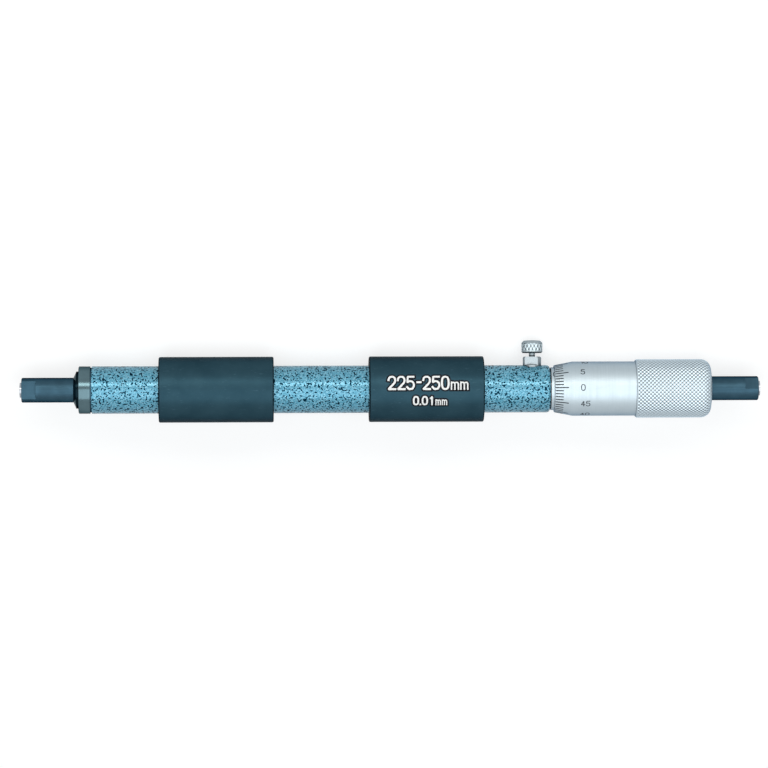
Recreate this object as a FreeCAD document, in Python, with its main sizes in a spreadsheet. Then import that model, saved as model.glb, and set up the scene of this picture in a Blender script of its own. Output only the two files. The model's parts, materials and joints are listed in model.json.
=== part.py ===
"""A tubular inside micrometer, 225 to 250 mm, lying on its two grips and its clamp screw.

Millimetres. The measuring axis is X, with the fixed measuring face at the origin and the
spindle's face at +X. Every turned piece is drawn along that axis with the clamp screw
pointing up, and then rolled about the axis until the grips and the clamp screw's head
stand on one flat surface.
"""
import FreeCAD
import Part
import Sketcher
import os

document = FreeCAD.newDocument("inside_micrometer")

# Driving dimensions

SIZES = [
    ("tube_start", 22.0, "left end of the tube, from the fixed measuring face"),
    ("tube_length", 138.9, "length of the tube"),
    ("tube_diameter", 14.4, "outside of the tube and of the lock nut's collar"),
    ("tube_wall", 1.5, "wall of the tube"),
    ("tube_end_rounding", 1.1, "rounded outer corner beside the thimble"),
    ("grip_diameter", 19.9, "outside of a grip"),
    ("grip_length", 34.8, "length of a grip"),
    ("grip_rounding", 0.45, "rounded end corners of a grip"),
    ("left_grip_start", 42.2, "left end of the left grip"),
    ("right_grip_inset", 20.2, "right end of the right grip, from the tube's right end"),
    ("tip_diameter", 4.5, "carbide insert"),
    ("tip_length", 2.6, "carbide insert, end to end"),
    ("tip_proud", 0.7, "how far an insert stands out of its rod"),
    ("tip_dome_radius", 14.0, "spherical measuring face"),
    ("anvil_diameter", 7.5, "fixed anvil rod"),
    ("anvil_flat_length", 4.35, "wrench flats of the fixed anvil, along the rod"),
    ("anvil_flat_width", 5.15, "wrench flats of the fixed anvil, across"),
    ("anvil_stem_diameter", 6.0, "threaded stem of the fixed anvil"),
    ("anvil_stem_length", 12.0, "threaded stem of the fixed anvil"),
    ("rod_chamfer", 0.25, "end corners of both rods"),
    ("rod_step", 0.2, "how far both rods step down where they enter their seats"),
    ("collar_width", 3.5, "collar of the anvil's lock nut"),
    ("collar_chamfer", 0.2, "outer corner of the collar"),
    ("nut_boss_width", 0.75, "low boss outside the collar"),
    ("nut_boss_diameter", 11.3, "low boss outside the collar"),
    ("nut_nose_length", 0.85, "cone between the boss and the rod"),
    ("nut_seat_depth", 3.0, "how deep the stepped end of the rod sits in the nut"),
    ("nut_hole_depth", 1.5, "spanner hole on the side away from the scale"),
    ("washer_width", 0.5, "dark washer between lock nut and tube"),
    ("washer_inset", 0.4, "how far that washer lies below the tube's surface"),
    ("plug_length", 10.0, "threaded plug in the tube's left end"),
    ("clamp_inset", 5.4, "axis of the clamp screw, from the tube's right end"),
    ("bush_diameter", 5.57, "clamp bush"),
    ("bush_height", 2.56, "how far the bush stands out of the tube"),
    ("bush_floor", 0.75, "metal left between the bush and the spindle's guide"),
    ("bush_flat_width", 3.87, "flats of the bush, across"),
    ("bush_flat_turn", 10.0, "flats of the bush, turned from the reading side to the left"),
    ("bush_chamfer", 0.3, "top corner of the bush"),
    ("clamp_stem_diameter", 1.87, "stem of the clamp screw"),
    ("clamp_neck_length", 1.09, "bare stem between bush and head"),
    ("clamp_head_diameter", 6.4, "head of the clamp screw"),
    ("clamp_head_height", 3.75, "head of the clamp screw"),
    ("clamp_head_top_chamfer", 0.7, "outer corner of the head"),
    ("clamp_head_low_chamfer", 0.4, "inner corner of the head"),
    ("clamp_head_recess", 0.3, "shallow dish in the top of the head"),
    ("pad_diameter", 2.3, "brass pad under the clamp screw"),
    ("pad_length", 1.6, "brass pad under the clamp screw"),
    ("pad_room", 0.8, "room over the pad in the bush"),
    ("pad_clearance", 0.03, "pad to spindle, clamp just released"),
    ("running_clearance", 0.02, "radial play of a running fit"),
    ("body_inside_length", 18.0, "part of the head body inside the tube"),
    ("neck_diameter", 11.0, "head body under the scale sleeve"),
    ("neck_inset", 1.0, "end of the neck, inside the sleeve's right end"),
    ("sleeve_gap", 0.25, "dark gap between tube and scale sleeve"),
    ("sleeve_diameter", 13.0, "outside of the scale sleeve"),
    ("sleeve_length", 28.5, "length of the scale sleeve"),
    ("spanner_hole_diameter", 1.3, "hole that turns the scale sleeve"),
    ("spanner_hole_place", 24.0, "that hole, from the sleeve's left end"),
    ("nut_thread_diameter", 9.6, "split end of the head body"),
    ("nut_thread_length", 7.0, "split end of the head body, past the sleeve"),
    ("slit_width", 0.8, "slits that let the spindle nut close"),
    ("slit_length", 16.0, "slits that let the spindle nut close"),
    ("inner_thread_length", 11.0, "threaded length of the spindle nut"),
    ("thread_room", 0.4, "radial room around the thread behind the nut"),
    ("guide_gap", 0.5, "end of the guide bore to the start of the thread"),
    ("adjusting_nut_diameter", 12.2, "ring nut that closes the slits"),
    ("adjusting_nut_length", 4.5, "ring nut that closes the slits"),
    ("adjusting_nut_inset", 0.8, "ring nut to the end of the head body"),
    ("notch_width", 1.2, "spanner notches of the ring nut"),
    ("notch_depth", 0.7, "spanner notches of the ring nut"),
    ("spindle_diameter", 6.0, "plain inner part of the spindle"),
    ("spindle_plain_length", 31.0, "plain inner part of the spindle"),
    ("spindle_thread_diameter", 6.5, "threaded part of the spindle"),
    ("thread_inset", 2.6, "start of the spindle's thread, closed, from the tube's right end"),
    ("cone_length", 6.5, "cone that carries the thimble"),
    ("cone_end_diameter", 5.2, "small end of that cone"),
    ("stud_diameter", 4.0, "threaded end that takes the spindle anvil"),
    ("stud_length", 7.0, "threaded end that takes the spindle anvil"),
    ("thimble_gap", 1.25, "tube to thimble, closed"),
    ("thimble_bore", 13.3, "inside of the thimble"),
    ("thimble_front_diameter", 14.3, "reading edge of the thimble"),
    ("bevel_length", 5.55, "bevel that carries the scale"),
    ("thimble_diameter", 16.48, "smooth part of the thimble"),
    ("knurl_start", 24.7, "start of the knurled band, from the front"),
    ("knurl_diameter", 17.8, "knurled band of the thimble"),
    ("knurl_chamfer", 0.35, "chamfer at the start of the band"),
    ("thimble_rounding", 3.0, "rounded rear corner of the thimble"),
    ("hub_gap", 2.15, "end of the head body to the thimble's end wall, closed"),
    ("hub_length", 11.0, "end wall of the thimble"),
    ("anvil_seat_depth", 1.5, "recess in the end wall for the spindle anvil"),
    ("moving_face_reach", 15.2, "moving measuring face, from the thimble's end"),
    ("spindle_anvil_diameter", 7.3, "rod that carries the moving face"),
    ("spindle_flat_length", 4.1, "wrench flats of the spindle anvil, along"),
    ("spindle_flat_width", 6.3, "wrench flats of the spindle anvil, across"),
    ("spindle_flat_turn", 27.0, "those flats, turned up from the reading side"),
]

ALIASES = [alias for alias, value, meaning in SIZES]
SLIT_COUNT = 3
NOTCH_COUNT = 4

sheet = document.addObject("Spreadsheet::Sheet", "Sizes")
for row, (alias, value, meaning) in enumerate(SIZES, start=1):
    sheet.set("A" + str(row), meaning)
    sheet.set("B" + str(row), str(value))
    sheet.setAlias("B" + str(row), alias)
document.recompute()


def size(text):
    """The number that an expression in sheet words stands for."""
    return float(sheet.evalExpression(bound(text)))


def bound(text):
    """The same expression with each sheet word led by the sheet's name."""
    for alias in sorted(ALIASES, key=len, reverse=True):
        text = text.replace("<" + alias + ">", "Sizes." + alias)
    return text


# Places along the measuring axis, worked out from the driving dimensions

TUBE_END = "(<tube_start> + <tube_length>)"
TUBE_BORE = "(<tube_diameter> - 2 * <tube_wall>)"
CLAMP = "(" + TUBE_END + " - <clamp_inset>)"
RIGHT_GRIP_START = "(" + TUBE_END + " - <right_grip_inset> - <grip_length>)"
COLLAR_END = "(<tube_start> - <washer_width>)"
COLLAR_START = "(" + COLLAR_END + " - <collar_width>)"
BOSS_START = "(" + COLLAR_START + " - <nut_boss_width>)"
NOSE_START = "(" + BOSS_START + " - <nut_nose_length>)"
ANVIL_SHOULDER = "(" + NOSE_START + " + <nut_seat_depth>)"
SLEEVE_START = "(" + TUBE_END + " + <sleeve_gap>)"
SLEEVE_END = "(" + SLEEVE_START + " + <sleeve_length>)"
BODY_START = "(" + TUBE_END + " - <body_inside_length>)"
NECK_END = "(" + SLEEVE_END + " - <neck_inset>)"
BODY_END = "(" + SLEEVE_END + " + <nut_thread_length>)"
THIMBLE_START = "(" + TUBE_END + " + <thimble_gap>)"
HUB_START = "(" + BODY_END + " + <hub_gap>)"
THIMBLE_END = "(" + HUB_START + " + <hub_length>)"
ANVIL_SEAT = "(" + THIMBLE_END + " - <anvil_seat_depth>)"
MOVING_FACE = "(" + THIMBLE_END + " + <moving_face_reach>)"
ROD_END = "(" + MOVING_FACE + " - <tip_proud>)"
THREAD_START = "(" + TUBE_END + " - <thread_inset>)"
SPINDLE_START = "(" + THREAD_START + " - <spindle_plain_length>)"
ANVIL_SEAT_RADIUS = "(<anvil_diameter> / 2 - <rod_step>)"
SPINDLE_SEAT_RADIUS = "(<spindle_anvil_diameter> / 2 - <rod_step>)"

# Heights along the clamp screw, from the measuring axis

BUSH_FLOOR = "(<spindle_diameter> / 2 + <bush_floor>)"
BUSH_TOP = "(<tube_diameter> / 2 + <bush_height>)"
HEAD_START = "(" + BUSH_TOP + " + <clamp_neck_length>)"
HEAD_END = "(" + HEAD_START + " + <clamp_head_height>)"
PAD_START = "(<spindle_diameter> / 2 + <pad_clearance>)"
PAD_TOP = "(" + PAD_START + " + <pad_length>)"
PAD_ROOM_TOP = "(" + PAD_TOP + " + <pad_room>)"

# The roll that sets the grips and the rim of the clamp screw's head on one surface

RIM_HEIGHT = "(" + HEAD_START + " + <clamp_head_height> - <clamp_head_top_chamfer>)"
RIM_RADIUS = "(<clamp_head_diameter> / 2)"
RIM_REACH = "sqrt(" + RIM_HEIGHT + "^2 + " + RIM_RADIUS + "^2)"
SCREW_FROM_DOWN = (
    "(atan(" + RIM_RADIUS + " / " + RIM_HEIGHT + ") + acos(<grip_diameter> / 2 / " + RIM_REACH + "))"
)
ROLL = "(" + SCREW_FROM_DOWN + " - 180 deg)"
ROLLED = "rotation(vector(1; 0; 0); " + ROLL + ")"
UPRIGHT = "rotation(vector(0; 1; 0); -90 deg)"
ON_THE_AXIS = "placement(vector(0; 0; 0); " + ROLLED + ")"
ON_THE_CLAMP = "placement(vector(" + CLAMP + "; 0; 0); " + ROLLED + " * " + UPRIGHT + ")"


# Ways to draw and cut

def origin_part(body, role):
    """One of a body's own origin planes or axes."""
    return [item for item in body.Origin.OriginFeatures if item.Role == role][0]


def flat_sketch(body, name, role, offset="0", turn="0"):
    """A sketch on an origin plane, moved along the plane's normal and turned about it."""
    sketch = body.newObject("Sketcher::SketchObject", name)
    sketch.AttachmentSupport = [(origin_part(body, role), "")]
    sketch.MapMode = "FlatFace"
    move = "placement(vector(0; 0; " + offset + "); rotation(vector(0; 0; 1); " + turn + "))"
    sketch.setExpression("AttachmentOffset", bound(move))
    return sketch


def hold_point(sketch, line, across, up):
    """Bind the start of a sketch line to two expressions."""
    for kind, axis, text in (("DistanceX", -2, across), ("DistanceY", -1, up)):
        if text == "0":
            sketch.addConstraint(Sketcher.Constraint("PointOnObject", line, 1, axis))
        else:
            number = sketch.addConstraint(Sketcher.Constraint(kind, -1, 1, line, 1, size(text)))
            sketch.setExpression("Constraints[" + str(number) + "]", bound(text))


def draw_outline(sketch, outline):
    """A closed outline through points given as pairs of expressions."""
    corners = [FreeCAD.Vector(size(across), size(up), 0) for across, up in outline]
    following = corners[1:] + corners[:1]
    for here, there in zip(corners, following):
        sketch.addGeometry(Part.LineSegment(here, there), False)
    for line in range(len(corners)):
        after = (line + 1) % len(corners)
        sketch.addConstraint(Sketcher.Constraint("Coincident", line, 2, after, 1))
    for line, (across, up) in enumerate(outline):
        hold_point(sketch, line, across, up)


def draw_circle(sketch, across, diameter):
    """A circle on the sketch's first axis."""
    centre = FreeCAD.Vector(size(across), 0, 0)
    circle = sketch.addGeometry(Part.Circle(centre, FreeCAD.Vector(0, 0, 1), size(diameter) / 2), False)
    sketch.addConstraint(Sketcher.Constraint("PointOnObject", circle, 3, -1))
    if across == "0":
        sketch.addConstraint(Sketcher.Constraint("PointOnObject", circle, 3, -2))
    else:
        place = sketch.addConstraint(Sketcher.Constraint("DistanceX", -1, 1, circle, 3, size(across)))
        sketch.setExpression("Constraints[" + str(place) + "]", bound(across))
    width = sketch.addConstraint(Sketcher.Constraint("Diameter", circle, size(diameter)))
    sketch.setExpression("Constraints[" + str(width) + "]", bound(diameter))


def turned(label, outline, place=ON_THE_AXIS):
    """A body turned about its own X axis from an outline of places and radii."""
    body = document.addObject("PartDesign::Body", label)
    body.Label = label
    body.setExpression("Placement", bound(place))
    sketch = flat_sketch(body, label + "_outline", "XZ_Plane")
    draw_outline(sketch, outline)
    turn = body.newObject("PartDesign::Revolution", label + "_turning")
    turn.Profile = sketch
    turn.ReferenceAxis = (sketch, ["H_Axis"])
    turn.Angle = 360
    document.recompute()
    return body


def cut(body, sketch, depth, forward, name):
    """Cut a sketch into a body, forward along the sketch's normal or back from it."""
    before = body.Shape.Volume
    pocket = body.newObject("PartDesign::Pocket", name)
    pocket.Profile = sketch
    pocket.Type = "Length"
    pocket.Length = size(depth)
    pocket.setExpression("Length", bound(depth))
    pocket.Reversed = forward
    document.recompute()
    if body.Shape.Volume >= before:
        raise RuntimeError(name + " cut nothing")
    return pocket


def repeat_about_axis(body, feature, count, name):
    """Copies of a cut around the body's X axis."""
    pattern = body.newObject("PartDesign::PolarPattern", name)
    pattern.Originals = [feature]
    pattern.Axis = (origin_part(body, "X_Axis"), [""])
    pattern.Angle = 360
    pattern.Occurrences = count
    body.Tip = pattern
    document.recompute()
    return pattern


def edges_at(shape, along, radius):
    """Names of the round edges about X at a place and radius."""
    found = []
    for number, edge in enumerate(shape.Edges, start=1):
        curve = edge.Curve
        if not isinstance(curve, Part.Circle):
            continue
        if abs(curve.Center.x - along) < 1e-4 and abs(curve.Radius - radius) < 1e-4:
            found.append("Edge" + str(number))
    return found


def round_corners(body, corners, radius, name):
    """Round the outer corners of a turned body."""
    base = body.Tip
    names = []
    for along, diameter in corners:
        names += edges_at(base.Shape, size(along), size(diameter) / 2)
    fillet = body.newObject("PartDesign::Fillet", name)
    fillet.Base = (base, names)
    fillet.Radius = size(radius)
    fillet.setExpression("Radius", bound(radius))
    document.recompute()
    return fillet


def cut_two_flats(body, start, length, across, reach, turn, name):
    """Two opposite wrench flats, cut forward along X from a place."""
    for side, sign in (("near", "-1"), ("far", "1")):
        sketch = flat_sketch(body, name + "_" + side + "_outline", "YZ_Plane", start, turn)
        inner = "(" + sign + " * " + across + " / 2)"
        outer = "(" + sign + " * " + reach + ")"
        draw_outline(sketch, [
            (inner, "(-1 * " + reach + ")"),
            (outer, "(-1 * " + reach + ")"),
            (outer, reach),
            (inner, reach),
        ])
        cut(body, sketch, length, True, name + "_" + side)


# The tube and its grips

def frame_tube():
    """Painted tube, rounded beside the thimble, with a hole for the clamp bush."""
    body = turned("frame_tube", [
        ("<tube_start>", "(" + TUBE_BORE + " / 2)"),
        ("<tube_start>", "(<tube_diameter> / 2)"),
        (TUBE_END, "(<tube_diameter> / 2)"),
        (TUBE_END, "(" + TUBE_BORE + " / 2)"),
    ])
    rounding = "min(<tube_end_rounding>; 0.9 * <tube_wall>)"
    round_corners(body, [(TUBE_END, "<tube_diameter>")], rounding, "end_rounding")
    hole = flat_sketch(body, "bush_hole_outline", "XY_Plane")
    draw_circle(hole, CLAMP, "<bush_diameter>")
    cut(body, hole, "<tube_diameter>", True, "bush_hole")
    return body


def grip(label, start):
    """Plastic sleeve that keeps the hand's warmth off the tube."""
    end = "(" + start + " + <grip_length>)"
    body = turned(label, [
        (start, "(<tube_diameter> / 2)"),
        (start, "(<grip_diameter> / 2)"),
        (end, "(<grip_diameter> / 2)"),
        (end, "(<tube_diameter> / 2)"),
    ])
    corners = [(start, "<grip_diameter>"), (end, "<grip_diameter>")]
    round_corners(body, corners, "<grip_rounding>", label + "_rounding")
    return body


# The fixed end

def end_plug():
    """Threaded plug in the tube's left end, which takes the anvil's stem."""
    end = "(<tube_start> + <plug_length>)"
    return turned("end_plug", [
        ("<tube_start>", "(<anvil_stem_diameter> / 2)"),
        ("<tube_start>", "(" + TUBE_BORE + " / 2)"),
        (end, "(" + TUBE_BORE + " / 2)"),
        (end, "(<anvil_stem_diameter> / 2)"),
    ])


def lock_washer():
    """Thin dark washer between the lock nut and the painted tube."""
    return turned("lock_washer", [
        (COLLAR_END, "(<anvil_stem_diameter> / 2)"),
        (COLLAR_END, "(<tube_diameter> / 2 - <washer_inset>)"),
        ("<tube_start>", "(<tube_diameter> / 2 - <washer_inset>)"),
        ("<tube_start>", "(<anvil_stem_diameter> / 2)"),
    ])


def anvil_lock_nut():
    """Round nut that locks the anvil: cone, boss and collar, with a spanner hole."""
    body = turned("anvil_lock_nut", [
        (NOSE_START, ANVIL_SEAT_RADIUS),
        (NOSE_START, "(<anvil_diameter> / 2)"),
        (BOSS_START, "(<nut_boss_diameter> / 2)"),
        (COLLAR_START, "(<nut_boss_diameter> / 2)"),
        (COLLAR_START, "(<tube_diameter> / 2 - <collar_chamfer>)"),
        ("(" + COLLAR_START + " + <collar_chamfer>)", "(<tube_diameter> / 2)"),
        (COLLAR_END, "(<tube_diameter> / 2)"),
        (COLLAR_END, "(<anvil_stem_diameter> / 2)"),
        (ANVIL_SHOULDER, "(<anvil_stem_diameter> / 2)"),
        (ANVIL_SHOULDER, ANVIL_SEAT_RADIUS),
    ])
    hole = flat_sketch(body, "nut_hole_outline", "XZ_Plane", "(-1 * <tube_diameter> / 2)")
    draw_circle(hole, "(" + COLLAR_START + " + <collar_width> / 2)", "<spanner_hole_diameter>")
    cut(body, hole, "<nut_hole_depth>", True, "nut_hole")
    return body


def fixed_anvil():
    """Rod with wrench flats, a seat for the carbide insert and a threaded stem."""
    stem_end = "(" + ANVIL_SHOULDER + " + <anvil_stem_length>)"
    body = turned("fixed_anvil", [
        ("<tip_length>", "0"),
        ("<tip_length>", "(<tip_diameter> / 2)"),
        ("<tip_proud>", "(<tip_diameter> / 2)"),
        ("<tip_proud>", "(<anvil_diameter> / 2 - <rod_chamfer>)"),
        ("(<tip_proud> + <rod_chamfer>)", "(<anvil_diameter> / 2)"),
        (NOSE_START, "(<anvil_diameter> / 2)"),
        (NOSE_START, ANVIL_SEAT_RADIUS),
        (ANVIL_SHOULDER, ANVIL_SEAT_RADIUS),
        (ANVIL_SHOULDER, "(<anvil_stem_diameter> / 2)"),
        (stem_end, "(<anvil_stem_diameter> / 2)"),
        (stem_end, "0"),
    ])
    flats_end = "(<tip_proud> + <anvil_flat_length>)"
    cut_two_flats(body, "0", flats_end, "<anvil_flat_width>", "<anvil_diameter>", "0 deg", "anvil_flat")
    return body


def carbide_tip(label, face, inward):
    """Carbide insert: a short round bar whose outer end is a spherical face."""
    bar = document.addObject("Part::Cylinder", label + "_bar")
    bar.setExpression("Radius", bound("<tip_diameter> / 2"))
    bar.setExpression("Height", bound("<tip_length>"))
    ball = document.addObject("Part::Sphere", label + "_ball")
    ball.setExpression("Radius", bound("<tip_dome_radius>"))
    along = "rotation(vector(0; 1; 0); " + str(90 * inward) + " deg)"
    bar.setExpression("Placement", bound("placement(vector(" + face + "; 0; 0); " + along + ")"))
    centre = "(" + face + " + " + str(inward) + " * <tip_dome_radius>)"
    ball.setExpression("Placement", bound("placement(vector(" + centre + "; 0; 0); " + along + ")"))
    tip = document.addObject("Part::Common", label)
    tip.Base = bar
    tip.Tool = ball
    tip.Label = label
    document.recompute()
    return tip


# The clamp

def clamp_bush():
    """Plated bush screwed through the tube into the head body, with two flats."""
    body = turned("clamp_bush", [
        (BUSH_FLOOR, "(<pad_diameter> / 2 + <running_clearance>)"),
        (BUSH_FLOOR, "(<bush_diameter> / 2)"),
        ("(" + BUSH_TOP + " - <bush_chamfer>)", "(<bush_diameter> / 2)"),
        (BUSH_TOP, "(<bush_diameter> / 2 - <bush_chamfer>)"),
        (BUSH_TOP, "(<clamp_stem_diameter> / 2 + <running_clearance>)"),
        (PAD_ROOM_TOP, "(<clamp_stem_diameter> / 2 + <running_clearance>)"),
        (PAD_ROOM_TOP, "(<pad_diameter> / 2 + <running_clearance>)"),
    ], ON_THE_CLAMP)
    start = "(<tube_diameter> / 2)"
    turn = "(-1 * <bush_flat_turn> * 1 deg)"
    width = "<bush_flat_width>"
    cut_two_flats(body, start, "<bush_height>", width, "<bush_diameter>", turn, "bush_flat")
    return body


def clamp_screw():
    """Clamp screw: stem, knurled head with chamfers and a shallow dish."""
    return turned("clamp_screw", [
        (PAD_TOP, "0"),
        (PAD_TOP, "(<clamp_stem_diameter> / 2)"),
        (HEAD_START, "(<clamp_stem_diameter> / 2)"),
        (HEAD_START, "(<clamp_head_diameter> / 2 - <clamp_head_low_chamfer>)"),
        ("(" + HEAD_START + " + <clamp_head_low_chamfer>)", "(<clamp_head_diameter> / 2)"),
        ("(" + HEAD_END + " - <clamp_head_top_chamfer>)", "(<clamp_head_diameter> / 2)"),
        (HEAD_END, "(<clamp_head_diameter> / 2 - <clamp_head_top_chamfer>)"),
        (HEAD_END, "(<clamp_head_diameter> / 4)"),
        ("(" + HEAD_END + " - <clamp_head_recess>)", "0"),
    ], ON_THE_CLAMP)


def clamp_pad():
    """Brass pad that the clamp screw presses on the spindle."""
    return turned("clamp_pad", [
        (PAD_START, "0"),
        (PAD_START, "(<pad_diameter> / 2)"),
        (PAD_TOP, "(<pad_diameter> / 2)"),
        (PAD_TOP, "0"),
    ], ON_THE_CLAMP)


# The measuring head

def head_body():
    """Inner body: plug in the tube, neck for the sleeve and split spindle nut."""
    guide = "(<spindle_diameter> / 2 + <running_clearance>)"
    thread = "(<spindle_thread_diameter> / 2 + <running_clearance>)"
    relief = "(<spindle_thread_diameter> / 2 + <thread_room>)"
    guide_end = "(" + THREAD_START + " - <guide_gap>)"
    nut_start = "(" + BODY_END + " - <inner_thread_length>)"
    body = turned("head_body", [
        (BODY_START, guide),
        (BODY_START, "(" + TUBE_BORE + " / 2)"),
        (TUBE_END, "(" + TUBE_BORE + " / 2)"),
        (TUBE_END, "(<neck_diameter> / 2)"),
        (NECK_END, "(<neck_diameter> / 2)"),
        (NECK_END, "(<nut_thread_diameter> / 2)"),
        (BODY_END, "(<nut_thread_diameter> / 2)"),
        (BODY_END, thread),
        (nut_start, thread),
        (nut_start, relief),
        (guide_end, relief),
        (guide_end, guide),
    ])
    seat = flat_sketch(body, "bush_seat_outline", "XY_Plane", BUSH_FLOOR)
    draw_circle(seat, CLAMP, "<bush_diameter>")
    cut(body, seat, "<tube_diameter>", True, "bush_seat")
    way = flat_sketch(body, "pad_way_outline", "XY_Plane")
    draw_circle(way, CLAMP, "(<pad_diameter> + 2 * <running_clearance>)")
    cut(body, way, BUSH_FLOOR, True, "pad_way")
    slit = flat_sketch(body, "slit_outline", "YZ_Plane", BODY_END)
    draw_outline(slit, [
        ("(-1 * <slit_width> / 2)", "0"),
        ("(<slit_width> / 2)", "0"),
        ("(<slit_width> / 2)", "<nut_thread_diameter>"),
        ("(-1 * <slit_width> / 2)", "<nut_thread_diameter>"),
    ])
    first = cut(body, slit, "<slit_length>", False, "slit")
    repeat_about_axis(body, first, SLIT_COUNT, "slits")
    return body


def adjusting_nut():
    """Ring nut on the split end, with spanner notches."""
    end = "(" + BODY_END + " - <adjusting_nut_inset>)"
    start = "(" + end + " - <adjusting_nut_length>)"
    body = turned("adjusting_nut", [
        (start, "(<nut_thread_diameter> / 2)"),
        (start, "(<adjusting_nut_diameter> / 2)"),
        (end, "(<adjusting_nut_diameter> / 2)"),
        (end, "(<nut_thread_diameter> / 2)"),
    ])
    notch = flat_sketch(body, "notch_outline", "YZ_Plane", end)
    bottom = "(<adjusting_nut_diameter> / 2 - <notch_depth>)"
    draw_outline(notch, [
        ("(-1 * <notch_width> / 2)", bottom),
        ("(<notch_width> / 2)", bottom),
        ("(<notch_width> / 2)", "<adjusting_nut_diameter>"),
        ("(-1 * <notch_width> / 2)", "<adjusting_nut_diameter>"),
    ])
    first = cut(body, notch, "<adjusting_nut_length>", False, "notch")
    repeat_about_axis(body, first, NOTCH_COUNT, "notches")
    return body


def scale_sleeve():
    """Sleeve that carries the length scale and turns on the neck to set zero."""
    inner = "(<neck_diameter> / 2 + <running_clearance>)"
    body = turned("scale_sleeve", [
        (SLEEVE_START, inner),
        (SLEEVE_START, "(<sleeve_diameter> / 2)"),
        (SLEEVE_END, "(<sleeve_diameter> / 2)"),
        (SLEEVE_END, inner),
    ])
    hole = flat_sketch(body, "spanner_hole_outline", "XZ_Plane")
    draw_circle(hole, "(" + SLEEVE_START + " + <spanner_hole_place>)", "<spanner_hole_diameter>")
    cut(body, hole, "<sleeve_diameter>", False, "spanner_hole")
    return body


def spindle():
    """Spindle: plain guide, thread, cone for the thimble and stud for its anvil."""
    cone_end = "(" + HUB_START + " + <cone_length>)"
    stud_end = "(" + ANVIL_SEAT + " + <stud_length>)"
    return turned("spindle", [
        (SPINDLE_START, "0"),
        (SPINDLE_START, "(<spindle_diameter> / 2)"),
        (THREAD_START, "(<spindle_diameter> / 2)"),
        (THREAD_START, "(<spindle_thread_diameter> / 2)"),
        (HUB_START, "(<spindle_thread_diameter> / 2)"),
        (cone_end, "(<cone_end_diameter> / 2)"),
        (cone_end, "(<stud_diameter> / 2)"),
        (stud_end, "(<stud_diameter> / 2)"),
        (stud_end, "0"),
    ])


def thimble():
    """Thimble: bevelled scale, smooth barrel, band for the knurl and end wall."""
    start = THIMBLE_START
    knurl = "(" + start + " + <knurl_start>)"
    cone_end = "(" + HUB_START + " + <cone_length>)"
    body = turned("thimble", [
        (start, "(<thimble_bore> / 2)"),
        (start, "(<thimble_front_diameter> / 2)"),
        ("(" + start + " + <bevel_length>)", "(<thimble_diameter> / 2)"),
        (knurl, "(<thimble_diameter> / 2)"),
        (knurl, "(<knurl_diameter> / 2 - <knurl_chamfer>)"),
        ("(" + knurl + " + <knurl_chamfer>)", "(<knurl_diameter> / 2)"),
        (THIMBLE_END, "(<knurl_diameter> / 2)"),
        (THIMBLE_END, SPINDLE_SEAT_RADIUS),
        (ANVIL_SEAT, SPINDLE_SEAT_RADIUS),
        (ANVIL_SEAT, "(<stud_diameter> / 2)"),
        (cone_end, "(<stud_diameter> / 2)"),
        (cone_end, "(<cone_end_diameter> / 2)"),
        (HUB_START, "(<spindle_thread_diameter> / 2)"),
        (HUB_START, "(<thimble_bore> / 2)"),
    ])
    round_corners(body, [(THIMBLE_END, "<knurl_diameter>")], "<thimble_rounding>", "rear_rounding")
    return body


def spindle_anvil():
    """Rod that holds the thimble on the cone and carries the moving face."""
    stud_end = "(" + ANVIL_SEAT + " + <stud_length>)"
    tip_seat = "(" + MOVING_FACE + " - <tip_length>)"
    body = turned("spindle_anvil", [
        (ANVIL_SEAT, "(<stud_diameter> / 2)"),
        (ANVIL_SEAT, SPINDLE_SEAT_RADIUS),
        (THIMBLE_END, SPINDLE_SEAT_RADIUS),
        (THIMBLE_END, "(<spindle_anvil_diameter> / 2)"),
        ("(" + ROD_END + " - <rod_chamfer>)", "(<spindle_anvil_diameter> / 2)"),
        (ROD_END, "(<spindle_anvil_diameter> / 2 - <rod_chamfer>)"),
        (ROD_END, "(<tip_diameter> / 2)"),
        (tip_seat, "(<tip_diameter> / 2)"),
        (tip_seat, "0"),
        (stud_end, "0"),
        (stud_end, "(<stud_diameter> / 2)"),
    ])
    start = "(" + ROD_END + " - <spindle_flat_length>)"
    turn = "(-1 * <spindle_flat_turn> * 1 deg)"
    length = "<spindle_flat_length>"
    width = "<spindle_flat_width>"
    cut_two_flats(body, start, length, width, "<spindle_anvil_diameter>", turn, "spindle_flat")
    return body


pieces = [
    frame_tube(),
    grip("left_grip", "<left_grip_start>"),
    grip("right_grip", RIGHT_GRIP_START),
    end_plug(),
    lock_washer(),
    anvil_lock_nut(),
    fixed_anvil(),
    carbide_tip("anvil_tip", "0", 1),
    clamp_bush(),
    clamp_screw(),
    clamp_pad(),
    head_body(),
    adjusting_nut(),
    scale_sleeve(),
    spindle(),
    thimble(),
    spindle_anvil(),
    carbide_tip("spindle_tip", MOVING_FACE, -1),
]
document.recompute()

# Every feature and every piece is checked before anything is written

for item in document.Objects:
    if "Invalid" in item.State or "Error" in item.State:
        raise RuntimeError(item.Label + " did not recompute")
for piece in pieces:
    if piece.Shape.isNull() or not piece.Shape.isValid():
        raise RuntimeError(piece.Label + " has no valid shape")

os.makedirs("parts", exist_ok=True)
for piece in pieces:
    piece.Shape.exportStep("parts/" + piece.Label + ".step")
    box = piece.Shape.BoundBox
    print(piece.Label, "solids", len(piece.Shape.Solids), "volume", round(piece.Shape.Volume, 1),
          "x", round(box.XMin, 2), round(box.XMax, 2),
          "y", round(box.YMin, 2), round(box.YMax, 2),
          "z", round(box.ZMin, 2), round(box.ZMax, 2))
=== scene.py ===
"""Looks of a tubular inside micrometer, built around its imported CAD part.

Metres. The measuring axis is X. Places around it are given as a turn in degrees from the side
that the scale faces, up towards the clamp screw's head.
"""
import json
import math

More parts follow.
